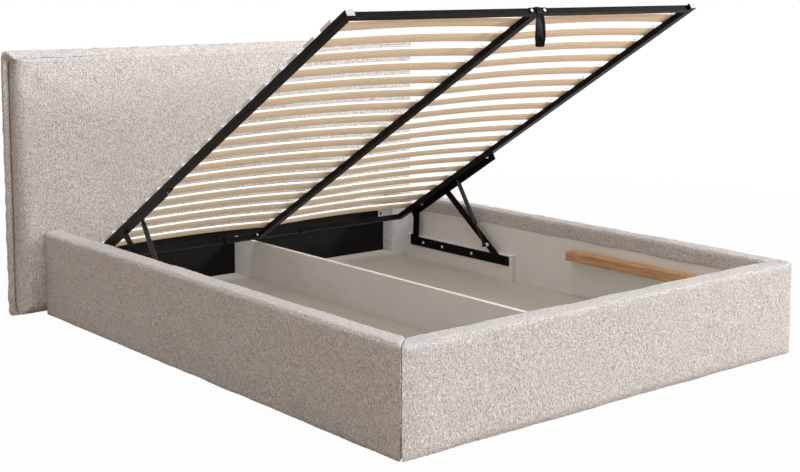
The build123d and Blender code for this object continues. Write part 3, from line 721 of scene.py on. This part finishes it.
def pad_mesh():
    """The pad's face and rim, open at the back and at the notch; also how many points its face has."""
    xs, zs = pad_lines()
    grid_x, grid_z = np.meshgrid(xs, zs)
    fall_x = fall(PAD_HALF - np.abs(grid_x), PAD_ROUND)
    fall_low, fall_high = fall(grid_z - PAD_BOTTOM, PAD_ROUND), fall(PAD_TOP - grid_z, PAD_TOP_ROUND)
    fall_z = np.where(grid_z < PAD_MIDDLE, fall_low, fall_high)
    grid_y = PAD_FRONT + (fall_x ** 4 + fall_z ** 4) ** 0.25
    work = bmesh.new()
    made = {}
    rows, columns = grid_x.shape
    for row in range(rows - 1):
        for column in range(columns - 1):
            middle_x = (xs[column] + xs[column + 1]) / 2
            middle_z = (zs[row] + zs[row + 1]) / 2
            if abs(middle_x) < BASE_HALF and middle_z < BASE_TOP:
                continue
            corners = []
            for spot in ((row, column), (row, column + 1), (row + 1, column + 1), (row + 1, column)):
                if spot not in made:
                    made[spot] = work.verts.new((grid_x[spot], grid_y[spot], grid_z[spot]))
                corners.append(made[spot])
            work.faces.new(corners)
    front = len(work.verts)
    border = [edge for edge in work.edges if edge.is_boundary]
    for share in (0.5, 1.0):
        grown = bmesh.ops.extrude_edge_only(work, edges=border)["geom"]
        for vert in (item for item in grown if isinstance(item, bmesh.types.BMVert)):
            vert.co.y = vert.co.y + (PAD_BACK - vert.co.y) * share
        border = [item for item in grown if isinstance(item, bmesh.types.BMEdge) and item.is_boundary]
    bmesh.ops.recalc_face_normals(work, faces=work.faces)
    mesh = bpy.data.meshes.new("headboard_front_pad")
    work.to_mesh(mesh)
    work.free()
    return mesh, front


def close_holes(piece):
    """Fill the openings of a mesh."""
    work = bmesh.new()
    work.from_mesh(piece.data)
    bmesh.ops.holes_fill(work, edges=[edge for edge in work.edges if edge.is_boundary])
    work.to_mesh(piece.data)
    work.free()


def headboard_pad():
    """Front pad with rounded edges, swollen as cloth, with a notch for the base board."""
    mesh, front = pad_mesh()
    piece = show("headboard_front_pad", mesh)
    points = read_points(piece)
    held = points[:, 1] > FLANGE_FRONT - PAD_HELD
    held |= (np.abs(points[:, 0]) < BASE_HALF + NOTCH_HELD) & (points[:, 2] < BASE_TOP + NOTCH_HELD)
    if np.mean(read_normals(piece)[:front, 1]) > 0:
        mesh.flip_normals()
    inflate(piece, held, PAD_SWELL)
    subdivide(piece)
    close_holes(piece)
    lumps(piece, *PAD_WADDING, 51)
    lumps(piece, *YARN, 52)
    dress(piece, "boucle")
    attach(piece, "bed_box")
    return piece


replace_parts(headboard_pad(), "headboard_pad")


# Sewn border round the headboard, a double layer that waves and puckers

BORDER_STEP = 0.008
SEAM_GAP = 0.0003
CORNER_RUN = 0.012
CORNER_CUT = 0.0045
PUCKER = 0.0036
PUCKER_LENGTH = 0.028
SWAY = 0.0026
SWAY_LENGTH = 0.085
FRONT_SWELL = 0.22
BACK_SWELL = 0.18
SWELL_LENGTH = 0.040
TOP_LEAN = 0.050
LEAN_RUN = 0.012
LEAN_VARIES = 0.2
LEAN_LENGTH = 0.030
FLOOR_CLEAR = 0.0012

# Profile from the seam outwards, as (share of the border's reach, share of its thickness)

PROFILE = [(0.0, 0.30), (0.08, 0.72), (0.24, 0.94), (0.52, 1.0), (0.84, 1.0), (0.96, 0.97), (1.0, 0.84)]


def rectangle(half, low, high):
    """Corners of an upright rectangle as (across, up), going round from its lower left one."""
    return [np.array(corner) for corner in ((-half, low), (half, low), (half, high), (-half, high))]


def border_stations():
    """Pairs of places round the headboard, on the seam and on the border's outer edge."""
    seams = rectangle(PAD_HALF + SEAM_GAP, PAD_BOTTOM, SEAM_TOP)
    edges = rectangle(FLANGE_HALF, FLANGE_LOW, FLANGE_HIGH)
    stations = []
    for number in range(4):
        after = (number + 1) % 4
        seam_run, edge_run = seams[after] - seams[number], edges[after] - edges[number]
        for share in spaced(0, 1, BORDER_STEP / math.dist(edges[number], edges[after])):
            stations.append((seams[number] + seam_run * share, edges[number] + edge_run * share))
    return stations


def headboard_flange():
    """Flat border, sewn on round the front pad; along the top it leans forward against the pad."""
    stations = border_stations()
    run = 0.0
    points = []
    half_thick = FLANGE_THICK / 2
    centre_y = FLANGE_FRONT + half_thick
    previous = stations[0][1]
    for seam, edge in stations:
        run += float(np.linalg.norm(edge - previous))
        previous = edge
        reach = edge - seam
        from_side = abs(abs(edge[0]) - FLANGE_HALF)
        from_end = min(abs(edge[1] - FLANGE_LOW), abs(edge[1] - FLANGE_HIGH))
        shorten = CORNER_CUT * max(0.0, 1 - (from_side + from_end) / CORNER_RUN)
        wave = ripple(run / PUCKER_LENGTH, 0.3, 0.0)
        sway = ripple(run / SWAY_LENGTH, 4.1, 0.0)
        swell = ripple(run / SWELL_LENGTH, 9.7, 0.0)
        reach = reach * (1 + (wave * PUCKER - shorten) / np.linalg.norm(reach))
        on_top = min(1.0, max(0.0, (seam[1] - SEAM_TOP + LEAN_RUN) / LEAN_RUN))
        lean = TOP_LEAN * on_top * (0.95 + LEAN_VARIES * ripple(run / LEAN_LENGTH, 2.2, 0.0))
        ring = []
        for share, thick in PROFILE:
            ring.append((share, -half_thick * thick * (1 + FRONT_SWELL * swell) - lean * (1 - 0.55 * share)))
        ring.append((1.0, 0.0))
        ring += [(share, half_thick * thick * (1 - BACK_SWELL * swell)) for share, thick in reversed(PROFILE)]
        for share, offset in ring:
            place = seam + reach * share
            points.append((place[0], centre_y + offset + sway * SWAY * share, max(place[1], FLOOR_CLEAR)))
    piece = new_mesh("headboard_border", points, ring_faces(len(stations), len(ring), closed=True))
    outwards(piece)
    subdivide(piece)
    lumps(piece, *BORDER_YARN, 61)
    dress(piece, "boucle")
    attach(piece, "bed_box")
    return piece


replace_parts(headboard_flange(), "headboard_flange")


# Thin cloths: the cover on the back and the lining at the head end of the storage

BACK_STEP = 0.02
BACK_RIM = 0.004
RIM_DROP = 0.0045
BACK_REST = 0.0012
BACK_SLACK = 0.0010
LINING_COLUMNS = 130
LINING_ROWS = 20
LINING_REST = 0.0006
LINING_SLACK = 0.0016
STAPLED_EDGE = 0.02


def back_cover():
    """Cloth drawn over the headboard's back and round its edges to the border."""
    low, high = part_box("headboard_back_cover")
    front = FLANGE_FRONT + FLANGE_THICK

    def rimmed(start, end):
        return [start] + spaced(start + BACK_RIM, end - BACK_RIM, BACK_STEP) + [end - BACK_RIM, end]

    xs, zs = rimmed(low.x, high.x), rimmed(low.z, high.z)
    points = []
    for z in zs:
        for x in xs:
            rim = min(x - low.x, high.x - x, high.z - z) < BACK_RIM / 2
            slack = min(ripple(x / 0.30, 2.0, z / 0.22) * BACK_SLACK, BACK_SLACK)
            points.append((x, high.y - RIM_DROP if rim else high.y - BACK_REST + slack, z))
    columns, rows = len(xs), len(zs)
    faces = grid_faces(rows, columns)
    edge = [row * columns for row in range(rows)]
    edge += [(rows - 1) * columns + i for i in range(1, columns)]
    edge += [row * columns + columns - 1 for row in reversed(range(rows - 1))]
    start = len(points)
    points += [(points[i][0], front, points[i][2]) for i in edge]
    faces += [(edge[k], edge[k + 1], start + k + 1, start + k) for k in range(len(edge) - 1)]
    piece = new_mesh("headboard_back_cloth", points, faces)
    outwards(piece)
    dress(piece, "back_cloth")
    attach(piece, "bed_box")
    return piece


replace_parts(back_cover(), "headboard_back_cover")


def lining():
    """Black lining stapled over the base board, slightly slack between its staples."""
    low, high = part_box("headboard_lining")
    points = []
    for z in np.linspace(low.z, high.z, LINING_ROWS):
        for x in np.linspace(low.x, high.x, LINING_COLUMNS):
            slack = abs(ripple(x / 0.12, 7.0, z / 0.30))
            edge = min(1.0, min(x - low.x, high.x - x, z - low.z, high.z - z) / STAPLED_EDGE)
            points.append((x, high.y - LINING_REST - LINING_SLACK * slack * edge, z))
    piece = new_mesh("head_end_lining", points, grid_faces(LINING_ROWS, LINING_COLUMNS))
    dress(piece, "lining_cloth")
    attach(piece, "bed_box")
    return piece


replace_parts(lining(), "headboard_lining")


# Pull strap: a tape sewn over the foot bar's plate, whose loop turns as it hangs

STRAP_WIDTH = 0.027
STRAP_THICK = 0.0016
STRAP_DROP = 0.104
PIN_DEPTH = 0.002
STRAND_SHARE = 0.93
STRAND_POINTS = 14
LOOP_DEPTH = 0.0072
LOOP_TURNS = np.radians((25, 50, 75))
GAP_AT_PIN = 0.0012
GAP_GROWS = 0.0055
FRONT_TURN = 35
FRONT_TWIST = 90
FRONT_SHIFT = -0.010
BACK_TURN = -20
BACK_TWIST = 35
BACK_SHIFT = 0.002
BACK_BOW = 0.008
CURL_FROM = 0.7
ENDS_THICK = 0.0022
PLATE_REACH = 1.8610


def on_frame(reach, rise):
    """Side view place on the raised frame, from its head end and from its tubes' underside."""
    along = -reach * math.cos(TILT) + rise * math.sin(TILT)
    return HEAD_CORNER.y + along, HEAD_CORNER.z + reach * math.sin(TILT) + rise * math.cos(TILT)


def tape(name, stations, body, thickness):
    """Woven tape along stations of (centre, half width as a vector)."""
    shares = (-1, -0.5, 0, 0.5, 1)
    points = [centre + half * share for centre, half in stations for share in shares]
    piece = new_mesh(name, points, grid_faces(len(stations), len(shares)))
    thick = piece.modifiers.new("thickness", "SOLIDIFY")
    thick.thickness = thickness
    thick.offset = 0
    apply_modifiers(piece)
    subdivide(piece)
    dress(piece, "webbing")
    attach(piece, body)
    return piece


def pull_strap():
    """The hanging loop: its front strand turns to face outwards, its back strand bows to the right."""
    low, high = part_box("pull_strap")
    pin = Vector((0, (low.y + high.y) / 2, high.z - PIN_DEPTH))
    stations = []

    def place(side, share, lift=0.0, narrow=1.0):
        """Add a station of the front strand (side -1) or the back strand (side 1)."""
        gap = GAP_AT_PIN + GAP_GROWS * math.sin(math.pi / 2 * min(1.0, share / 0.8)) ** 1.3
        if side < 0:
            turn = math.radians(FRONT_TURN - FRONT_TWIST * share ** 0.7)
            shift = FRONT_SHIFT * (1 - share)
        else:
            turn = math.radians(BACK_TURN - BACK_TWIST * share)
            shift = BACK_SHIFT + BACK_BOW * math.sin(math.pi * min(1.0, share * 0.9))
        centre = Vector((shift, 0, lift - STRAP_DROP * share))
        across = Vector((-math.sin(turn), math.cos(turn), 0)) * (side * gap * narrow)
        low_down = max(0.0, share - CURL_FROM) / (STRAND_SHARE - CURL_FROM)
        curl = 1 - 0.12 * low_down - 0.16 * (1 - narrow)
        half = Vector((math.cos(turn), math.sin(turn), 0)) * (STRAP_WIDTH / 2 * curl)
        stations.append((pin + centre + across, half))

    shares = np.linspace(0, STRAND_SHARE, STRAND_POINTS)
    for share in shares:
        place(-1, share)
    for turn in LOOP_TURNS:
        place(-1, STRAND_SHARE, -LOOP_DEPTH * math.sin(turn), math.cos(turn))
    for turn in reversed(LOOP_TURNS):
        place(1, STRAND_SHARE, -LOOP_DEPTH * math.sin(turn), math.cos(turn))
    for share in reversed(shares):
        place(1, share)
    piece = tape("pull_strap_tape", stations, "pull_strap", STRAP_THICK)
    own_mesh(piece)
    return piece


def strap_top():
    """The strap's sewn ends, laid over the plate from the top of the foot bar."""
    route = [
        (-0.0150, 0.0213, -0.0030, 0.0095), (-0.0060, 0.0215, -0.0030, 0.0098),
        (0.0004, 0.0212, -0.0028, 0.0100), (0.0014, 0.0188, -0.0024, 0.0104),
        (0.0016, 0.0130, -0.0014, 0.0114), (0.0018, 0.0060, -0.0002, 0.0124),
        (0.0016, 0.0000, 0.0006, 0.0130), (0.0006, -0.0026, 0.0008, 0.0132),
    ]
    stations = []
    for past_plate, rise, x_place, half in route:
        y_place, z_place = on_frame(PLATE_REACH + past_plate, rise)
        stations.append((Vector((x_place, y_place, z_place)), Vector((half, 0, 0))))
    piece = tape("pull_strap_sewn_end", stations, "lift_frame", ENDS_THICK)


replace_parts(pull_strap(), "pull_strap")
strap_top()


# Screws, bolts and ball studs

TURNED_STEPS = 24
NUT_RADIUS = 0.0070
NUT_HEIGHT = 0.0030
NECK_RADIUS = 0.0050
NECK_HEIGHT = 0.0034
BALL_RADIUS = 0.0080
BALL_CENTRE = 0.0092
BALL_END = 0.0004
UNDER_FRAME = (0.0, -math.sin(TILT), -math.cos(TILT))
ALONG_FRAME = (0.0, -math.cos(TILT), math.sin(TILT))

# Rings of a domed head from its seat, as (share of its radius, share of its height, is six-sided)

HEAD_RINGS = [
    (1.0, 0, False), (1.0, 0.30, False), (0.95, 0.62, False), (0.80, 0.88, False), (0.60, 1, False),
    (0.44, 1, True), (0.40, 0.90, True), (0.38, 0.35, True),
]


def islands(node):
    """Corners of each separate solid of a node, in the model's frame."""
    work = bmesh.new()
    work.from_mesh(node.data)
    bmesh.ops.remove_doubles(work, verts=work.verts, dist=SAME_POINT / 2)
    left = set(work.verts)
    found = []
    while left:
        stack = [left.pop()]
        group = []
        while stack:
            vert = stack.pop()
            group.append(tuple(vert.co))
            for edge in vert.link_edges:
                other = edge.other_vert(vert)
                if other in left:
                    left.remove(other)
                    stack.append(other)
        found.append(np.array(group))
    work.free()
    return found


def turned(rings, centre, axis, points, faces):
    """Add a turned shape from rings of (radius, height, is six-sided) along an axis."""
    frame_turn = Vector(axis).to_track_quat("Z", "X").to_matrix()
    start = len(points)
    for radius, height, six_sided in rings:
        for step in range(TURNED_STEPS):
            angle = 2 * math.pi * step / TURNED_STEPS
            size = radius
            if six_sided:
                size = radius / math.cos((angle + math.pi / 6) % (math.pi / 3) - math.pi / 6)
            local = Vector((size * math.cos(angle), size * math.sin(angle), height))
            points.append(Vector(centre) + frame_turn @ local)
    faces += ring_faces(len(rings), TURNED_STEPS, start)
    last = start + (len(rings) - 1) * TURNED_STEPS
    faces.append(tuple(start + i for i in reversed(range(TURNED_STEPS))))
    faces.append(tuple(last + i for i in range(TURNED_STEPS)))


def inwards(centre):
    """Across the bed, towards its middle."""
    return (-1.0 if centre[0] > 0 else 1.0, 0.0, 0.0)


def sideways(centre):
    """Across the bed, away from its middle."""
    return (1.0 if centre[0] > 0 else -1.0, 0.0, 0.0)


def below(centre):
    """Square to the raised frame, out of its underside."""
    return UNDER_FRAME


def beyond(centre):
    """Along the raised frame, past its foot end."""
    return ALONG_FRAME


def fasteners(node_name, name, axis_at, body):
    """Domed heads with a six-sided recess, each in the place of a node's plain one."""
    points, faces = [], []
    for corners in islands(nodes[node_name]):
        centre = (corners.min(axis=0) + corners.max(axis=0)) / 2
        axis = np.array(axis_at(centre))
        along = (corners - centre) @ axis
        height = along.max() - along.min()
        radius = np.linalg.norm((corners - centre) - np.outer(along, axis), axis=1).max()
        rings = [(radius * wide, height * high, six_sided) for wide, high, six_sided in HEAD_RINGS]
        turned(rings, centre - axis * height / 2, axis, points, faces)
    piece = new_mesh(name, points, faces)
    dress(piece, "bright_steel")
    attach(piece, body)
    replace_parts(piece, node_name)


def ball_studs():
    """Ball studs on the front arms, in the open lower eyes of the struts."""
    points, faces = [], []
    for corners in islands(nodes["lower_ball_studs"]):
        low, high = corners.min(axis=0), corners.max(axis=0)
        axis = inwards(corners[0])
        seat = np.array([high[0] if axis[0] < 0 else low[0], (low[1] + high[1]) / 2, (low[2] + high[2]) / 2])
        reach = high[0] - low[0]
        rings = [(NUT_RADIUS, 0, True), (NUT_RADIUS, NUT_HEIGHT, True), (NECK_RADIUS, NECK_HEIGHT, False)]
        for turn in np.radians(np.linspace(-50, 70, 9)):
            rings.append((BALL_RADIUS * math.cos(turn), BALL_CENTRE + BALL_RADIUS * math.sin(turn), False))
        rings = [ring for ring in rings if ring[1] < reach - BALL_END]
        rings.append((rings[-1][0] * 0.6, reach, False))
        turned(rings, seat, axis, points, faces)
    piece = new_mesh("strut_ball_studs", points, faces)
    dress(piece, "bright_steel")
    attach(piece, "front_arms")
    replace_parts(piece, "lower_ball_studs")


fasteners("lift_base_screws", "base_plate_screws", inwards, "bed_box")
fasteners("lift_bracket_bolts", "bracket_bolt_heads", below, "lift_frame")
fasteners("strap_bolts", "strap_bolt_heads", beyond, "lift_frame")
fasteners("centre_bolts", "centre_bolt_heads", sideways, "lift_frame")
ball_studs()


# Room: pale floor, white surround and soft lamps

FLOOR_HALF = 30
FLOOR_LEVEL = -0.0008
FLOOR_COLOUR = (0.50, 0.42, 0.345, 1)
FLOOR_WHITE_SHARE = 0.97
WHITE_FROM = 1.8
WHITE_TO = 4.5
SKY_COLOUR = (1.0, 0.917, 0.85, 1)
SKY_STRENGTH = 0.53
WHITE = (1, 1, 1, 1)


def seen_by(tree, *rays):
    """1 for rays of the given kinds and 0 for others."""
    path = tree.nodes.new("ShaderNodeLightPath")
    found = path.outputs[rays[0]]
    for ray in rays[1:]:
        either = tree.nodes.new("ShaderNodeMath")
        either.operation = "MAXIMUM"
        tree.links.new(found, either.inputs[0])
        tree.links.new(path.outputs[ray], either.inputs[1])
        found = either.outputs[0]
    return found


def glow(tree, kind, tint, strength):
    """An emission or background shader of one colour."""
    made = tree.nodes.new(kind)
    made.inputs["Color"].default_value = tint
    made.inputs["Strength"].default_value = strength
    return made.outputs[0]


def mixed(tree, share, first, second):
    """A shader that changes from the first to the second with the share."""
    mix = tree.nodes.new("ShaderNodeMixShader")
    tree.links.new(share, mix.inputs["Fac"])
    tree.links.new(first, mix.inputs[1])
    tree.links.new(second, mix.inputs[2])
    return mix.outputs[0]


def white_to_view(name):
    """A pale floor that the camera and mirrors see almost as white, and that keeps its shadows."""
    material = bpy.data.materials.new(name)
    material.use_nodes = True
    tree = material.node_tree
    tree.nodes.clear()
    output = tree.nodes.new("ShaderNodeOutputMaterial")
    diffuse = tree.nodes.new("ShaderNodeBsdfDiffuse")
    diffuse.inputs["Color"].default_value = FLOOR_COLOUR
    place = tree.nodes.new("ShaderNodeTexCoord")
    far = tree.nodes.new("ShaderNodeVectorMath")
    far.operation = "LENGTH"
    tree.links.new(place.outputs["Object"], far.inputs[0])
    fade = tree.nodes.new("ShaderNodeMapRange")
    fade.inputs["From Min"].default_value = WHITE_FROM
    fade.inputs["From Max"].default_value = WHITE_TO
    fade.inputs["To Min"].default_value = FLOOR_WHITE_SHARE
    fade.inputs["To Max"].default_value = 1.0
    tree.links.new(far.outputs["Value"], fade.inputs["Value"])
    share = tree.nodes.new("ShaderNodeMath")
    share.operation = "MULTIPLY"
    seen = seen_by(tree, "Is Camera Ray", "Is Glossy Ray", "Is Transmission Ray")
    tree.links.new(seen, share.inputs[0])
    tree.links.new(fade.outputs["Result"], share.inputs[1])
    white = glow(tree, "ShaderNodeEmission", WHITE, 1.0)
    tree.links.new(mixed(tree, share.outputs[0], diffuse.outputs[0], white), output.inputs["Surface"])
    return material


def lamp(name, place, target, size, power, tint):
    """A soft rectangular lamp that faces its target."""
    light = bpy.data.lights.new(name, "AREA")
    light.shape = "RECTANGLE"
    light.size, light.size_y = size
    light.energy = power
    light.color = tint
    made = bpy.data.objects.new(name, light)
    made.location = place
    made.rotation_euler = (Vector(target) - Vector(place)).to_track_quat("-Z", "Y").to_euler()
    bpy.context.scene.collection.objects.link(made)


floor_mesh = bpy.data.meshes.new("floor")
floor_corners = [(x * FLOOR_HALF, y * FLOOR_HALF, 0) for x, y in ((-1, -1), (1, -1), (1, 1), (-1, 1))]
floor_mesh.from_pydata(floor_corners, [], [(0, 1, 2, 3)])
floor = bpy.data.objects.new("floor", floor_mesh)
floor.location.z = FLOOR_LEVEL
bpy.context.scene.collection.objects.link(floor)
floor_mesh.materials.append(white_to_view("floor"))

world = bpy.data.worlds.new("studio")
bpy.context.scene.world = world
world.use_nodes = True
sky = world.node_tree
sky.nodes.clear()
sky_output = sky.nodes.new("ShaderNodeOutputWorld")
soft = glow(sky, "ShaderNodeBackground", SKY_COLOUR, SKY_STRENGTH)
bright = glow(sky, "ShaderNodeBackground", WHITE, 1.0)
sky_seen = seen_by(sky, "Is Camera Ray", "Is Transmission Ray")
sky.links.new(mixed(sky, sky_seen, soft, bright), sky_output.inputs["Surface"])

lamp("side_softbox", (6.8, -5.2, 4.6), (0, 0, 0.5), (1.1, 0.9), 346, (0.94, 0.97, 1.0))
lamp("front_softbox", (4.0, -9.2, 2.9), (0, 0, 0.5), (1.2, 1.0), 566, (0.93, 0.965, 1.0))
lamp("top_softbox", (-0.4, -0.6, 5.2), (0, -0.2, 0), (3.6, 3.0), 200, (0.985, 0.99, 1.0))


# Camera at the photograph's viewing angle

EYE = Vector((-3.1130, -2.7392 + FOOT_FACE, 1.2742))
YAW = math.radians(39.400)
PITCH = math.radians(6.670)
PHOTO_WIDTH = 800
FOCAL_PIXELS = 1395.6
SENSOR_WIDTH = 36
FRAMING_SHIFT = -0.12

ahead = Vector((math.sin(YAW) * math.cos(PITCH), math.cos(YAW) * math.cos(PITCH), -math.sin(PITCH)))
lens = bpy.data.cameras.new("camera")
lens.sensor_width = SENSOR_WIDTH
lens.lens = FOCAL_PIXELS / PHOTO_WIDTH * SENSOR_WIDTH
lens.shift_y = FRAMING_SHIFT
camera = bpy.data.objects.new("camera", lens)
camera.location = EYE
camera.rotation_euler = ahead.to_track_quat("-Z", "Y").to_euler()
bpy.context.scene.collection.objects.link(camera)
bpy.context.scene.camera = camera
bpy.context.scene.view_settings.view_transform = "Standard"
